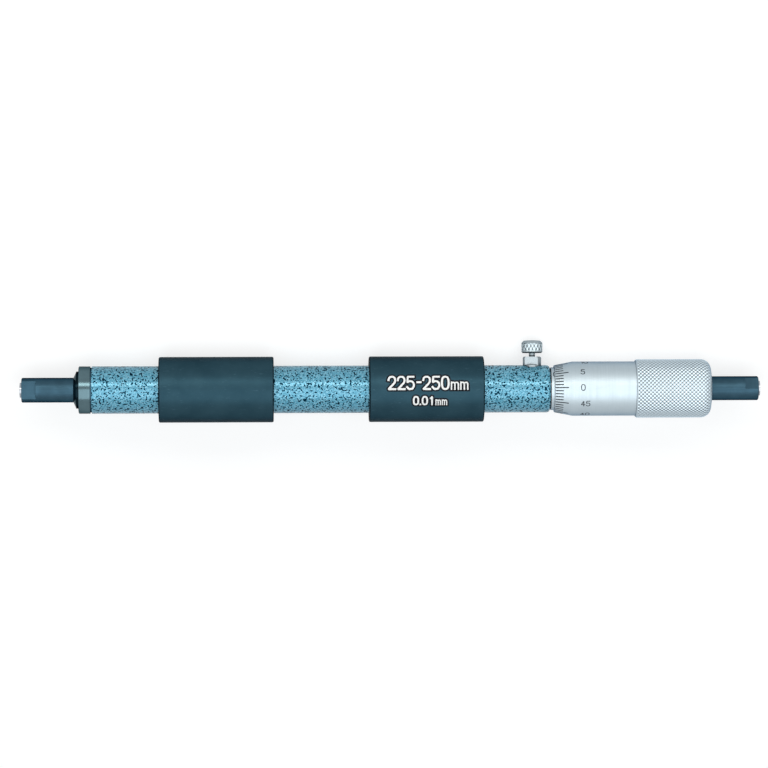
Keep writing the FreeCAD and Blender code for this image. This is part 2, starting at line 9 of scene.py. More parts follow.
import bmesh
import bpy
from mathutils import Matrix, Vector


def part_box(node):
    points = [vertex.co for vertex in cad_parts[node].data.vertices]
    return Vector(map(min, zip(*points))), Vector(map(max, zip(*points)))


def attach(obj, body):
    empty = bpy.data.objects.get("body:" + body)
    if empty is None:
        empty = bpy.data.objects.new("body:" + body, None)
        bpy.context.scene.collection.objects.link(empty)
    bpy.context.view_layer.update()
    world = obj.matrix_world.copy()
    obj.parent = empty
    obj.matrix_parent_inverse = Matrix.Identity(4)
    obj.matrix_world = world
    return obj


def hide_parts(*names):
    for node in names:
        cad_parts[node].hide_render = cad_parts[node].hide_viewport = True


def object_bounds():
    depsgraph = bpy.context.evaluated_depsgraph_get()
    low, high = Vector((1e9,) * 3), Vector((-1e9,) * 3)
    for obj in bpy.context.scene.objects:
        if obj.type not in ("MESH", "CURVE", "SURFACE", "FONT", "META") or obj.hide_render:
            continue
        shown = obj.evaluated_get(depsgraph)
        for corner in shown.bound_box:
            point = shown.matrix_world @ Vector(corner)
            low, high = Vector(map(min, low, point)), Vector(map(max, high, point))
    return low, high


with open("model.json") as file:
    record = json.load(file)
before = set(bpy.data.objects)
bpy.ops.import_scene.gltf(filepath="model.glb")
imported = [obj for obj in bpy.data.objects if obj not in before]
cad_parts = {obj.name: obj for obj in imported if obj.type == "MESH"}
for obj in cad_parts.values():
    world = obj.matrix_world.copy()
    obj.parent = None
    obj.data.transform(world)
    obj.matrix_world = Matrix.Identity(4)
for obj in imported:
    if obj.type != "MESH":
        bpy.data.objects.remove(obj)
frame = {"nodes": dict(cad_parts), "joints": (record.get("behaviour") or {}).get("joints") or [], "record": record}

CAD_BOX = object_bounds()
MM = 0.001

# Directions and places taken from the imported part

JOINTS = {joint["name"]: joint for joint in frame["joints"]}
ALONG = Vector((1, 0, 0))
SCREW_UP = Vector(JOINTS["clamp_turn"]["axis"])
READER = Vector((0, -SCREW_UP.z, SCREW_UP.y))
CLAMP_CENTRE = Vector(JOINTS["clamp_turn"]["pos_m"])
THIMBLE_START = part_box("thimble")[0].x
THIMBLE_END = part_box("thimble")[1].x
RIGHT_GRIP_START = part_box("right_grip")[0].x
LOCK_NUT_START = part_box("anvil_lock_nut")[0].x

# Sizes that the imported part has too

GRIP_RADIUS = 9.95 * MM
SLEEVE_RADIUS = 6.5 * MM
THIMBLE_BORE_RADIUS = 6.65 * MM
THIMBLE_FRONT_RADIUS = 7.15 * MM
THIMBLE_RADIUS = 8.24 * MM
BEVEL_LENGTH = 5.55 * MM
KNURL_START = 24.7 * MM
KNURL_RADIUS = 8.9 * MM
KNURL_CHAMFER = 0.35 * MM
REAR_ROUNDING = 3.0 * MM
HUB_LENGTH = 11.0 * MM
SPINDLE_THREAD_RADIUS = 3.25 * MM
CONE_LENGTH = 6.5 * MM
CONE_END_RADIUS = 2.6 * MM
STUD_RADIUS = 2.0 * MM
SEAT_RADIUS = 3.45 * MM
SEAT_DEPTH = 1.5 * MM
NUT_NOSE_LENGTH = 0.85 * MM
NUT_BOSS_WIDTH = 0.75 * MM
CLAMP_STEM_RADIUS = 0.935 * MM
CLAMP_STEM_START = 4.66 * MM
CLAMP_HEAD_START = 10.85 * MM
CLAMP_HEAD_HEIGHT = 3.75 * MM
CLAMP_HEAD_RADIUS = 3.2 * MM
CLAMP_LOW_CHAMFER = 0.4 * MM
CLAMP_TOP_CHAMFER = 0.7 * MM
CLAMP_BUSH_TOP = 9.76 * MM

# Small forms and painted shade that only the two knurled pieces of the scene have

THIMBLE_FRONT_CORNER = 0.05 * MM
HEAD_CORNER = 0.04 * MM
CLAMP_CROWN = 0.15 * MM
AXIS_HOLE_RADIUS = 0.05 * MM
# How far the painted shade on the clamp screw's thread reaches above the bush, and the length over which it fades
# out
THREAD_ABOVE_BUSH = 0.45 * MM
PAINTED_SHADE_FADE = 0.1 * MM

# Lamps and floor

LIT_MIDDLE = 0.11
LAMP_DISTANCE = 1.1
WORLD_FILL = 0.2
FLOOR_COLOUR = (0.4, 0.404, 0.408)
FLOOR_GLOW = 0.7
FLOOR_WIDTH = 8.0

# Marks and knurls

LIFT = 0.015 * MM
READING_TURN = 2.5
DIVISIONS = 50
LABEL_EVERY = 5
TRAVEL_MM = 25
STRIP = 0.4 * MM
CORNER_CUT = 0.12 * MM
SHORTEST_MITRE = 0.45
KNURL_STEPS = 8
SHARP_ANGLE = math.radians(28)
THIMBLE_KNURL = {"grooves": 46, "pitch": 1.19 * MM, "depth": 0.22 * MM, "half_width": 0.4,
                 "run_in": 0.4 * MM, "run_out": 1.2 * MM}
CLAMP_KNURL = {"grooves": 16, "pitch": 2.0 * MM, "depth": 0.2 * MM, "half_width": 0.3,
               "run_in": 0.3 * MM, "run_out": 0.3 * MM}

# Strokes of the figures, from the lower left corner of a box one wide and one high

FIGURES = {
    "1": [[(0.34, 0.8), (0.6, 1.0), (0.6, 0.0)]],
    "2": [[(0.0, 0.72), (0.06, 0.88), (0.3, 1.0), (0.7, 1.0), (0.94, 0.88), (1.0, 0.7),
           (0.92, 0.52), (0.02, 0.0), (1.0, 0.0)]],
    "3": [[(0.0, 0.86), (0.26, 1.0), (0.74, 1.0), (0.98, 0.8), (0.76, 0.55), (0.42, 0.53)],
          [(0.42, 0.53), (0.8, 0.5), (1.0, 0.26), (0.76, 0.0), (0.24, 0.0), (0.0, 0.15)]],
    "4": [[(0.7, 0.0), (0.7, 1.0), (0.0, 0.28), (1.0, 0.28)]],
    "5": [[(0.94, 1.0), (0.1, 1.0), (0.04, 0.54), (0.3, 0.64), (0.7, 0.62), (0.97, 0.46), (1.0, 0.24),
           (0.76, 0.02), (0.26, 0.0), (0.0, 0.16)]],
    "-": [[(0.14, 0.55), (0.61, 0.55)]],
    ".": [[(0.0, 0.0), (0.02, 0.0)]],
    "m": [[(0.0, 0.0), (0.0, 1.0)],
          [(0.0, 0.8), (0.13, 0.97), (0.37, 0.97), (0.5, 0.8), (0.5, 0.0)],
          [(0.5, 0.8), (0.63, 0.97), (0.87, 0.97), (1.0, 0.8), (1.0, 0.0)]],
}
FIGURE_WIDTHS = {"-": 0.63, ".": 0.02, "1": 0.62}
ZERO_CORNERS = 28
ZERO_SIDE_POWER = 0.7
ZERO_END_POWER = 0.85


# Shapes around an axis

def around_axis(along, radius, turn):
    """A point around the measuring axis."""
    angle = math.radians(turn)
    return ALONG * along + (READER * math.cos(angle) + SCREW_UP * math.sin(angle)) * radius


def around_clamp(along, radius, turn):
    """A point around the clamp screw's axis, with its height above the measuring axis."""
    angle = math.radians(turn)
    side = (READER * math.cos(angle) + ALONG * math.sin(angle)) * radius
    return CLAMP_CENTRE + SCREW_UP * along + side


def new_object(name, mesh, material, body):
    """A piece that rides on a CAD body."""
    mesh.materials.clear()
    mesh.materials.append(material)
    piece = bpy.data.objects.new(name, mesh)
    bpy.context.scene.collection.objects.link(piece)
    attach(piece, body)
    return piece


def groove(place, half_width):
    """How deep one family of V grooves is at a place counted in grooves, from 0 to 1."""
    off = abs(place - round(place))
    return max(0.0, 1.0 - off / half_width)


def lathe(name, rows, knurl, place):
    """A closed ring of rows. Each row is a place, a radius, the knurl's strength and the painted shade there."""
    shape = bmesh.new()
    pit = shape.verts.layers.float.new("pit")
    crest = shape.verts.layers.float.new("crest")
    columns = knurl["grooves"] * KNURL_STEPS
    rings = []
    for along, radius, strength, painted_shade in rows:
        ring = []
        for column in range(columns):
            around = column / KNURL_STEPS
            level = along / knurl["pitch"]
            left = groove(level + around, knurl["half_width"])
            right = groove(level - around, knurl["half_width"])
            cut = knurl["depth"] * strength * max(left, right)
            vert = shape.verts.new(place(along, radius - cut, 360.0 * column / columns))
            # Painted shade in the knurl's pits and on rows that ask for it, and a painted highlight on the crests
            vert[pit] = painted_shade + strength * (left + right) / 2
            vert[crest] = strength * (1.0 - max(left, right))
            ring.append(vert)
        rings.append(ring)
    for number in range(len(rows)):
        here, there = rings[number], rings[(number + 1) % len(rows)]
        for column in range(columns):
            beside = (column + 1) % columns
            shape.faces.new([here[column], here[beside], there[beside], there[column]]).smooth = True
    bmesh.ops.recalc_face_normals(shape, faces=shape.faces)
    mesh = bpy.data.meshes.new(name)
    shape.to_mesh(mesh)
    shape.free()
    mesh.set_sharp_from_angle(angle=SHARP_ANGLE)
    return mesh


def knurl_rows(start, end, knurl, envelope):
    """Rows of a diamond knurl between two places, which runs out flat at both ends."""
    count = round((end - start) / knurl["pitch"] * KNURL_STEPS)
    rows = []
    for number in range(count + 1):
        along = start + (end - start) * number / count
        strength = min(1.0, (along - start) / knurl["run_in"], (end - along) / knurl["run_out"])
        rows.append((along, envelope(along), max(0.0, strength), 0.0))
    return rows


def thimble_envelope(along):
    """Radius over the knurl: chamfer, straight band and rounded rear corner."""
    from_start = along - (THIMBLE_START + KNURL_START)
    past_corner = along - (THIMBLE_END - REAR_ROUNDING)
    if from_start < KNURL_CHAMFER:
        return KNURL_RADIUS - KNURL_CHAMFER + from_start
    if past_corner <= 0:
        return KNURL_RADIUS
    drop = REAR_ROUNDING - math.sqrt(max(0.0, REAR_ROUNDING ** 2 - past_corner ** 2))
    return KNURL_RADIUS - drop


def thimble_rows():
    """Outline of the thimble, once round from the front of its bore."""
    hub = THIMBLE_END - HUB_LENGTH
    band = THIMBLE_START + KNURL_START
    rows = [
        (THIMBLE_START, THIMBLE_BORE_RADIUS, 0.0, 0.0),
        (THIMBLE_START, THIMBLE_FRONT_RADIUS - THIMBLE_FRONT_CORNER, 0.0, 0.0),
        (THIMBLE_START + THIMBLE_FRONT_CORNER, THIMBLE_FRONT_RADIUS, 0.0, 0.0),
        (THIMBLE_START + BEVEL_LENGTH, THIMBLE_RADIUS, 0.0, 0.0),
        (band, THIMBLE_RADIUS, 0.0, 0.0),
    ]
    rows += knurl_rows(band, THIMBLE_END, THIMBLE_KNURL, thimble_envelope)
    rows += [
        (THIMBLE_END, SEAT_RADIUS, 0.0, 0.0),
        (THIMBLE_END - SEAT_DEPTH, SEAT_RADIUS, 0.0, 0.0),
        (THIMBLE_END - SEAT_DEPTH, STUD_RADIUS, 0.0, 0.0),
        (hub + CONE_LENGTH, STUD_RADIUS, 0.0, 0.0),
        (hub + CONE_LENGTH, CONE_END_RADIUS, 0.0, 0.0),
        (hub, SPINDLE_THREAD_RADIUS, 0.0, 0.0),
        (hub, THIMBLE_BORE_RADIUS, 0.0, 0.0),
    ]
    return rows


def clamp_envelope(along):
    return CLAMP_HEAD_RADIUS


def clamp_rows():
    """Outline of the clamp screw, once round from its foot, with painted shade on the thread and under the head.
    """
    top = CLAMP_HEAD_START + CLAMP_HEAD_HEIGHT
    knurl_start = CLAMP_HEAD_START + CLAMP_LOW_CHAMFER
    knurl_end = top - CLAMP_TOP_CHAMFER
    thread_end = CLAMP_BUSH_TOP + THREAD_ABOVE_BUSH
    # Rows whose last value is 1 carry painted shade: the thread inside the bush and the underside of the head
    rows = [
        (CLAMP_STEM_START, AXIS_HOLE_RADIUS, 0.0, 1.0),
        (CLAMP_STEM_START, CLAMP_STEM_RADIUS, 0.0, 1.0),
        (thread_end, CLAMP_STEM_RADIUS, 0.0, 1.0),
        (thread_end + PAINTED_SHADE_FADE, CLAMP_STEM_RADIUS, 0.0, 0.0),
        (CLAMP_HEAD_START, CLAMP_STEM_RADIUS, 0.0, 0.0),
        (CLAMP_HEAD_START, CLAMP_HEAD_RADIUS - CLAMP_LOW_CHAMFER, 0.0, 1.0),
        (knurl_start - HEAD_CORNER, CLAMP_HEAD_RADIUS - HEAD_CORNER, 0.0, 1.0),
    ]
    rows += knurl_rows(knurl_start, knurl_end, CLAMP_KNURL, clamp_envelope)
    rows += [
        (top, CLAMP_HEAD_RADIUS - CLAMP_TOP_CHAMFER, 0.0, 0.0),
        (top + CLAMP_CROWN * 0.7, CLAMP_HEAD_RADIUS * 0.45, 0.0, 0.0),
        (top + CLAMP_CROWN, AXIS_HOLE_RADIUS, 0.0, 0.0),
    ]
    return rows


# Marks and figures that lie on a round surface

def thimble_radius(along):
    """Radius of the thimble's bevel and of its smooth part."""
    share = min(1.0, (along - THIMBLE_START) / BEVEL_LENGTH)
    return THIMBLE_FRONT_RADIUS + (THIMBLE_RADIUS - THIMBLE_FRONT_RADIUS) * share


def sleeve_radius(along):
    return SLEEVE_RADIUS


def grip_radius(along):
    return GRIP_RADIUS


def add_mark(shape, start, end, turn, half_width, radius_at):
    """A mark with square ends, which goes half its width up and down from its turn."""
    steps = max(1, math.ceil(half_width * 2 / STRIP))
    rows = []
    for number in range(steps + 1):
        offset = half_width * (2.0 * number / steps - 1)
        row = []
        for along in (start, end):
            radius = radius_at(along) + LIFT
            row.append(shape.verts.new(around_axis(along, radius, turn + math.degrees(offset / radius))))
        rows.append(row)
    for low, high in zip(rows[:-1], rows[1:]):
        shape.faces.new([low[0], low[1], high[1], high[0]])


def figure_paths(letter):
    """The strokes of a figure in its own box, and whether they are closed."""
    if letter != "0":
        return FIGURES[letter], False
    ring = []
    for number in range(ZERO_CORNERS):
        angle = 2 * math.pi * number / ZERO_CORNERS
        across, up = math.cos(angle), math.sin(angle)
        ring.append((0.5 + 0.5 * math.copysign(abs(across) ** ZERO_SIDE_POWER, across),
                     0.5 + 0.5 * math.copysign(abs(up) ** ZERO_END_POWER, up)))
    return [ring], True


def side_step(path, number, closed):
    """Direction across a path at one of its points, longer in a corner so the width holds."""
    last = len(path) - 1
    before = path[number - 1] if number > 0 or closed else path[0]
    after = path[(number + 1) % len(path)] if number < last or closed else path[last]
    here = path[number]
    steps = [(there - back).normalized() for back, there in ((before, here), (here, after)) if there != back]
    middle = sum(steps, Vector((0, 0))).normalized()
    across = Vector((-middle.y, middle.x))
    return across / max(SHORTEST_MITRE, middle.dot(steps[0]))


def softened(path, closed, cut):
    """A path of flat points with its corners cut twice, each time by no more than a length."""
    for _ in range(2):
        count = len(path)
        soft = [] if closed else [path[0]]
        for number in range(count if closed else count - 1):
            here, there = path[number], path[(number + 1) % count]
            step = (there - here).normalized() * min(cut, (there - here).length / 4)
            soft += [here + step, there - step]
        path = soft if closed else soft + [path[-1]]
    return path


def divided(path, closed):
    """A path with extra points, so that it bends with the surface it lies on."""
    points = []
    for number, here in enumerate(path):
        if number == len(path) - 1 and not closed:
            points.append(here)
            continue
        there = path[(number + 1) % len(path)]
        steps = math.ceil((there - here).length / STRIP)
        points += [here.lerp(there, step / steps) for step in range(steps)]
    return points


def add_ribbon(shape, path, closed, half_width, ends, spot):
    """A stroke along a path of flat points, put on the surface by a function of across and up."""
    points = [Vector(point) for point in path]
    if not closed:
        points[0] = points[0] - (points[1] - points[0]).normalized() * ends
        points[-1] = points[-1] + (points[-1] - points[-2]).normalized() * ends
    points = divided(softened(points, closed, CORNER_CUT), closed)
    strips = max(1, math.ceil(half_width * 2 / STRIP))
    rows = []
    for number, point in enumerate(points):
        across = side_step(points, number, closed) * half_width
        row = [point + across * (2.0 * strip / strips - 1) for strip in range(strips + 1)]
        rows.append([shape.verts.new(spot(corner.x, corner.y)) for corner in row])
    pairs = list(zip(rows[:-1], rows[1:]))
    if closed:
        pairs.append((rows[-1], rows[0]))
    for here, there in pairs:
        for strip in range(strips):
            shape.faces.new([here[strip], here[strip + 1], there[strip + 1], there[strip]])


def text_width(text, width, gap):
    """Length of a line of figures whose full box has a given width."""
    cells = [FIGURE_WIDTHS.get(letter, 1.0) * width for letter in text]
    return sum(cells) + gap * (len(text) - 1)


def add_text(shape, text, start, turn, low, box, stroke, gap, radius_at, lift=LIFT, edge=0.0):
    """A line of figures along the axis. Low is the place of its foot above its turn."""
    width, height = box[0] - stroke, box[1] - stroke
    left = start + stroke / 2
    for letter in text:
        paths, closed = figure_paths(letter)

        def spot(across, up):
            along = left + across
            radius = radius_at(along)
            return around_axis(along, radius + lift, turn + math.degrees((low + stroke / 2 + up) / radius))

        for path in paths:
            scaled = [(across * width, up * height) for across, up in path]
            add_ribbon(shape, scaled, closed, stroke / 2 + edge, stroke / 2 + edge, spot)
        left += FIGURE_WIDTHS.get(letter, 1.0) * width + stroke + gap


def mark_mesh(name, shape):
    """The finished mesh of some marks."""
    mesh = bpy.data.meshes.new(name)
    shape.to_mesh(mesh)
    shape.free()
    return mesh


def thimble_marks():
    """Fifty divisions on the bevel, every fifth long and numbered on the smooth part."""
    shape = bmesh.new()
    start = THIMBLE_START + 0.1 * MM
    short_mark = 2.4 * MM
    long_mark = 3.95 * MM
    half_width = 0.15 * MM
    figure_start = THIMBLE_START + 7.7 * MM
    box = (1.35 * MM, 2.0 * MM)
    stroke = 0.23 * MM
    gap = 0.2 * MM
    for number in range(DIVISIONS):
        turn = READING_TURN + number * 360.0 / DIVISIONS
        labelled = number % LABEL_EVERY == 0
        end = start + (long_mark if labelled else short_mark)
        add_mark(shape, start, end, turn, half_width, thimble_radius)
        if labelled:
            add_text(shape, str(number), figure_start, turn, -box[1] / 2, box, stroke, gap,
                     thimble_radius)
    return mark_mesh("thimble_marks", shape)


def sleeve_marks():
    """Reading line, a mark every half millimetre and a figure every five."""
    shape = bmesh.new()
    first = THIMBLE_START
    line_end = first + (TRAVEL_MM + 0.5) * MM
    line_half_width = 0.08 * MM
    mark_half_width = 0.07 * MM
    short_mark = 1.7 * MM
    long_mark = 2.6 * MM
    figure_turn = READING_TURN + 40.0
    box = (1.15 * MM, 1.8 * MM)
    stroke = 0.22 * MM
    gap = 0.15 * MM
    add_mark(shape, first, line_end, READING_TURN, line_half_width, sleeve_radius)
    for half in range(2 * TRAVEL_MM + 1):
        along = first + half * 0.5 * MM
        labelled = half % (2 * LABEL_EVERY) == 0
        length = long_mark if labelled else short_mark
        side = 1.0 if half % 2 == 0 else -1.0
        turn = READING_TURN + side * math.degrees(length / 2 / SLEEVE_RADIUS)
        start = along - mark_half_width
        end = along + mark_half_width
        add_mark(shape, start, end, turn, length / 2, sleeve_radius)
        if labelled:
            figures = str(half // 2)
            width = text_width(figures, box[0], gap)
            add_text(shape, figures, along - width / 2, figure_turn, -box[1] / 2, box, stroke, gap,
                     sleeve_radius)
    return mark_mesh("sleeve_marks", shape)


def grip_text(name, edge, lift):
    """The measuring range and the reading on the right grip."""
    shape = bmesh.new()
    # Each line has its text, start, box of a full figure, foot, stroke and gap between figures
    lines = [
        ("225-250", 5.38 * MM, (2.64 * MM, 4.4 * MM), -0.28 * MM, 0.6 * MM, 0.17 * MM),
        ("mm", 24.45 * MM, (2.5 * MM, 2.55 * MM), -0.25 * MM, 0.42 * MM, 0.34 * MM),
        ("0.01", 13.0 * MM, (1.93 * MM, 3.0 * MM), -5.05 * MM, 0.52 * MM, 0.1 * MM),
        ("mm", 19.84 * MM, (1.65 * MM, 1.9 * MM), -5.05 * MM, 0.32 * MM, 0.26 * MM),
    ]
    for text, place, box, low, stroke, gap in lines:
        start = RIGHT_GRIP_START + place
        add_text(shape, text, start, 0.0, low, box, stroke, gap, grip_radius, lift, edge)
    return mark_mesh(name, shape)


# Materials

class Recipe:
    """A node material with its shader, which a few short calls add to."""

    def __init__(self, name, colour, metallic, roughness, specular=0.5, tint=(1.0, 1.0, 1.0)):
        self.material = bpy.data.materials.new(name)
        self.material.use_nodes = True
        self.tree = self.material.node_tree
        self.shader = self.tree.nodes["Principled BSDF"]
        self.shader.inputs["Base Color"].default_value = (*colour, 1)
        self.shader.inputs["Metallic"].default_value = metallic
        self.shader.inputs["Roughness"].default_value = roughness
        self.shader.inputs["Specular IOR Level"].default_value = specular
        self.shader.inputs["Specular Tint"].default_value = (*tint, 1)
        surface = self.tree.nodes.new("ShaderNodeTexCoord").outputs
        self.place = surface["Object"]
        self.outward = surface["Normal"]

    def node(self, kind, values=None, **settings):
        made = self.tree.nodes.new(kind)
        for name, value in settings.items():
            setattr(made, name, value)
        for name, value in (values or {}).items():
            if hasattr(value, "links"):
                self.tree.links.new(value, made.inputs[name])
            else:
                made.inputs[name].default_value = value
        return made

    def stretched(self, scale):
        """Object coordinates with a scale along each axis."""
        return self.node("ShaderNodeMapping", {"Vector": self.place, "Scale": scale}).outputs["Vector"]

    def noise(self, scale, detail=2.0, vector=None, roughness=0.5):
        values = {"Vector": vector or self.place, "Scale": scale, "Detail": detail, "Roughness": roughness}
        return self.node("ShaderNodeTexNoise", values).outputs["Fac"]

    def along_axis(self, vector):
        """How far a vector points along the measuring axis."""
        return self.node("ShaderNodeSeparateXYZ", {"Vector": vector}).outputs["X"]

    def carried(self, name):
        """A value that the mesh carries at its points, or 0 on a mesh without it."""
        return self.node("ShaderNodeAttribute", attribute_name=name).outputs["Fac"]

    def maths(self, operation, first, second=0.0):
        return self.node("ShaderNodeMath", {0: first, 1: second}, operation=operation).outputs[0]

    def spread(self, value, low, high, to_low=0.0, to_high=1.0):
        """A value moved from one span to another and kept in it."""
        values = {"Value": value, "From Min": low, "From Max": high, "To Min": to_low, "To Max": to_high}
        return self.node("ShaderNodeMapRange", values).outputs["Result"]

    def blend(self, factor, first, second):
        """A colour between two colours, which may themselves be sockets."""
        made = self.node("ShaderNodeMix", data_type="RGBA")
        pairs = (("Factor_Float", factor), ("A_Color", first), ("B_Color", second))
        for name, value in pairs:
            socket = [item for item in made.inputs if item.identifier == name][0]
            if hasattr(value, "links"):
                self.tree.links.new(value, socket)
            else:
                socket.default_value = value if isinstance(value, float) else (*value, 1)
        return [item for item in made.outputs if item.identifier == "Result_Color"][0]

    def creased(self, colour, dark, distance=0.4 * MM, shut=0.25, clear=0.8):
        """A colour with painted shade in narrow gaps and at the foot of a step, from ambient occlusion."""
        openness = self.node("ShaderNodeAmbientOcclusion", {"Distance": distance}, samples=6).outputs["AO"]
        return self.blend(self.spread(openness, shut, clear), dark, colour)

    def colour(self, socket):
        self.tree.links.new(socket, self.shader.inputs["Base Color"])

    def metallic(self, socket):
        self.tree.links.new(socket, self.shader.inputs["Metallic"])

    def roughness(self, socket):
        self.tree.links.new(socket, self.shader.inputs["Roughness"])

    def bump(self, height, distance, strength=1.0):
        values = {"Height": height, "Distance": distance, "Strength": strength}
        made = self.node("ShaderNodeBump", values)
        self.tree.links.new(made.outputs["Normal"], self.shader.inputs["Normal"])


def shade(colour, factor):
    """A colour times a factor, kept below white."""
    return tuple(min(0.9, channel * factor) for channel in colour)


def hammered_paint():
    """Light-blue hammered enamel with metal flake in it, pale islands and small dark specks."""
    flake = 0.22
    speck_inside = 0.37
    speck_outside = 0.4
    made = Recipe("tube_paint", (0.12, 0.35, 0.49), flake, 0.2, specular=0.6, tint=(0.7, 0.7, 0.7))
    dents = made.noise(1850.0, detail=0.0)
    flow = made.noise(2400.0, detail=1.0)
    drift = made.spread(made.noise(450.0), 0.3, 0.7, -0.05, 0.05)
    level = made.maths("ADD", dents, drift)
    cloud = made.spread(made.noise(700.0, detail=3.0), 0.35, 0.65)
    plain = made.blend(cloud, (0.08, 0.33, 0.47), (0.13, 0.415, 0.565))
    island = made.blend(made.spread(flow, 0.54, 0.62, 0.0, 0.5), plain, (0.33, 0.6, 0.74))
    hollow = made.blend(made.spread(flow, 0.38, 0.46, 0.4, 0.0), island, (0.005, 0.12, 0.22))
    speck = made.spread(level, speck_inside, speck_outside, 1.0, 0.0)
    specked = made.blend(speck, hollow, (0.001, 0.018, 0.035))
    # Painted shade in narrow gaps and at the foot of steps
    made.colour(made.creased(specked, (0.0, 0.01, 0.02)))
    made.metallic(made.spread(level, speck_inside, speck_outside, 1.0, flake))
    made.roughness(made.spread(level, 0.36, 0.46, 0.4, 0.19))
    made.bump(made.spread(level, 0.3, 0.5), 0.05 * MM, 0.55)
    return made.material


def grip_plastic():
    """Matt moulded plastic, dark blue-grey with painted shade on its end faces and in its creases, fine scuffs and
    a weak gloss.
    """
    made = Recipe("grip_plastic", (0.022, 0.06, 0.085), 0.45, 0.5, specular=0.02, tint=(0.1, 0.1, 0.1))
    cloud = made.spread(made.noise(140.0, detail=4.0), 0.3, 0.7)
    plain = made.blend(cloud, (0.02, 0.053, 0.074), (0.028, 0.068, 0.092))
    scuffs = made.noise(1.0, detail=3.0, vector=made.stretched((500.0, 2600.0, 2600.0)), roughness=0.7)
    scuffed = made.blend(made.spread(scuffs, 0.62, 0.74), plain, (0.05, 0.105, 0.14))
    # Painted shade on the end faces, which face along the axis
    ends = made.spread(made.maths("ABSOLUTE", made.along_axis(made.outward)), 0.2, 0.5)
    cut = made.blend(ends, scuffed, (0.004, 0.011, 0.016))
    # Painted shade in creases
    made.colour(made.creased(cut, (0.003, 0.008, 0.012)))
    made.roughness(made.spread(scuffs, 0.3, 0.75, 0.34, 0.46))
    made.bump(made.noise(6000.0), 0.02 * MM, 0.6)
    return made.material


def ground_metal(name, colour, roughness, lines, tint, mottle, crease=(0.4 * MM, 0.25, 0.8)):
    """The recipe of a metal with fine tool lines, by their scale on each axis, with painted shade in its creases,
    knurl pits and under the clamp screw's head, and a painted highlight on knurl crests.
    """
    made = Recipe(name, colour, 1.0, roughness, tint=tint)
    fine = made.noise(1.0, detail=3.0, vector=made.stretched(lines), roughness=0.7)
    made.roughness(made.spread(fine, 0.3, 0.7, roughness * 0.82, roughness * 1.2))
    made.bump(fine, 0.006 * MM, 0.7)
    cloud = made.spread(made.noise(260.0, detail=3.0), 0.35, 0.65)
    plain = made.blend(cloud, colour, shade(colour, 1.0 - mottle))
    # Painted highlight: knurl crests are lighter
    painted_crest_highlight = made.blend(made.carried("crest"), plain, shade(colour, 1.6))
    # Painted shade from the pit value: knurl pits, the clamp screw's thread and the underside of its head
    painted_shade = made.spread(made.carried("pit"), 0.35, 0.75, 0.0, 0.85)
    painted_shade_colour = made.blend(painted_shade, painted_crest_highlight, shade(colour, 0.1))
    # Painted shade in creases, from ambient occlusion
    made.colour(made.creased(painted_shade_colour, shade(colour, 0.06), *crease))
    return made


def black_oxide():
    return ground_metal("black_oxide", (0.036, 0.08, 0.113), 0.46, (60.0, 2600.0, 2600.0),
                        (0.1, 0.12, 0.14), 0.2, crease=(0.2 * MM, 0.25, 0.7)).material


def polished_oxide():
    """The lock nut's finish, with a nearly black painted shade on the low boss beside its collar."""
    made = ground_metal("polished_oxide", (0.092, 0.15, 0.172), 0.18, (2600.0, 60.0, 60.0),
                        (0.4, 0.4, 0.4), 0.15, crease=(0.5 * MM, 0.25, 0.6))
    along = made.along_axis(made.place)
    fade = 0.05 * MM
    boss = LOCK_NUT_START + NUT_NOSE_LENGTH
    collar = boss + NUT_BOSS_WIDTH
    # Painted shade: a nearly black ring on the boss between the nose and the collar
    past_nose = made.spread(along, boss - fade, boss)
    before_collar = made.spread(along, collar + fade, collar + 3 * fade, 1.0, 0.0)
    ring = made.maths("MULTIPLY", past_nose, before_collar)
    plain = made.shader.inputs["Base Color"].links[0].from_socket
    made.colour(made.blend(ring, plain, (0.004, 0.01, 0.014)))
    return made.material


def satin_chrome():
    return ground_metal("satin_chrome", (0.43, 0.5, 0.54), 0.5, (5200.0, 60.0, 60.0),
                        (0.08, 0.2, 0.36), 0.03).material


def bright_plate():
    return ground_metal("bright_plate", (0.32, 0.375, 0.4), 0.44, (4200.0, 60.0, 60.0),
                        (0.4, 0.45, 0.5), 0.04, crease=(0.3 * MM, 0.25, 0.8)).material


def bush_plate():
    """The bush's plating, with painted shade at its foot that reaches wider than on the other plating."""
    return ground_metal("bush_plate", (0.3, 0.34, 0.36), 0.3, (4200.0, 60.0, 60.0),
                        (0.4, 0.45, 0.5), 0.06, crease=(1.2 * MM, 0.6, 0.78)).material


def carbide():
    return ground_metal("carbide", (0.36, 0.38, 0.41), 0.22, (3000.0, 60.0, 60.0),
                        (0.6, 0.6, 0.6), 0.12).material


def bare_steel():
    return ground_metal("bare_steel", (0.45, 0.45, 0.46), 0.3, (4200.0, 60.0, 60.0),
                        (0.7, 0.7, 0.7), 0.08).material


def brass():
    return ground_metal("brass_pad", (0.62, 0.42, 0.16), 0.25, (3000.0, 60.0, 60.0),
                        (0.8, 0.7, 0.5), 0.1).material


def ink(name, colour):
    """Paint of the figures and marks, a little uneven."""
    made = Recipe(name, colour, 0.0, 0.5, specular=0.1)
    worn = made.noise(3500.0, detail=3.0)
    lighter = tuple(min(1.0, channel * 1.25 + 0.002) for channel in colour)
    made.colour(made.blend(made.spread(worn, 0.35, 0.7), colour, lighter))
    made.bump(worn, 0.008 * MM, 0.4)
    return made.material


